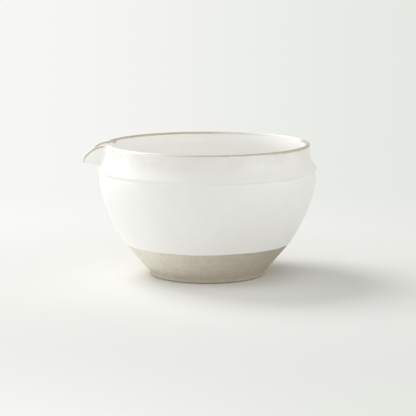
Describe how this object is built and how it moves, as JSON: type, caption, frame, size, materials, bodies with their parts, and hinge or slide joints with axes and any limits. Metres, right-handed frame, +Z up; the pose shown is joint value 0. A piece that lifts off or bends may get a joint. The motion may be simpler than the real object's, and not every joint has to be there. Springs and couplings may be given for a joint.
{
  "type": "katakuchi sake pourer",
  "caption": "Open stoneware pouring bowl with a rounded belly, a shoulder ridge, a short beak spout, white glaze above a level line, bare clay below and a brown rim.",
  "frame": {"origin": "on the bowl's axis, in the plane that the foot ring stands on", "axes": "+Z up along the bowl's axis, -X from the axis towards the tip of the spout, +Y across"},
  "size_m": [0.1291, 0.1204, 0.073],
  "materials": {
    "bare_stoneware": "matt unglazed",
    "joining_slip": "matt unglazed",
    "white_glaze": "satin",
    "iron_wash": "satin"
  },
  "bodies": {
    "root": {"bowl_body": "bare_stoneware", "spout": "bare_stoneware", "spout_luting": "joining_slip", "bowl_outer_glaze": "white_glaze", "bowl_liner_glaze": "white_glaze", "spout_outer_glaze": "white_glaze", "spout_liner_glaze": "white_glaze", "rim_wash": "iron_wash", "spout_edge_wash": "iron_wash"}
  },
  "joints": []
}
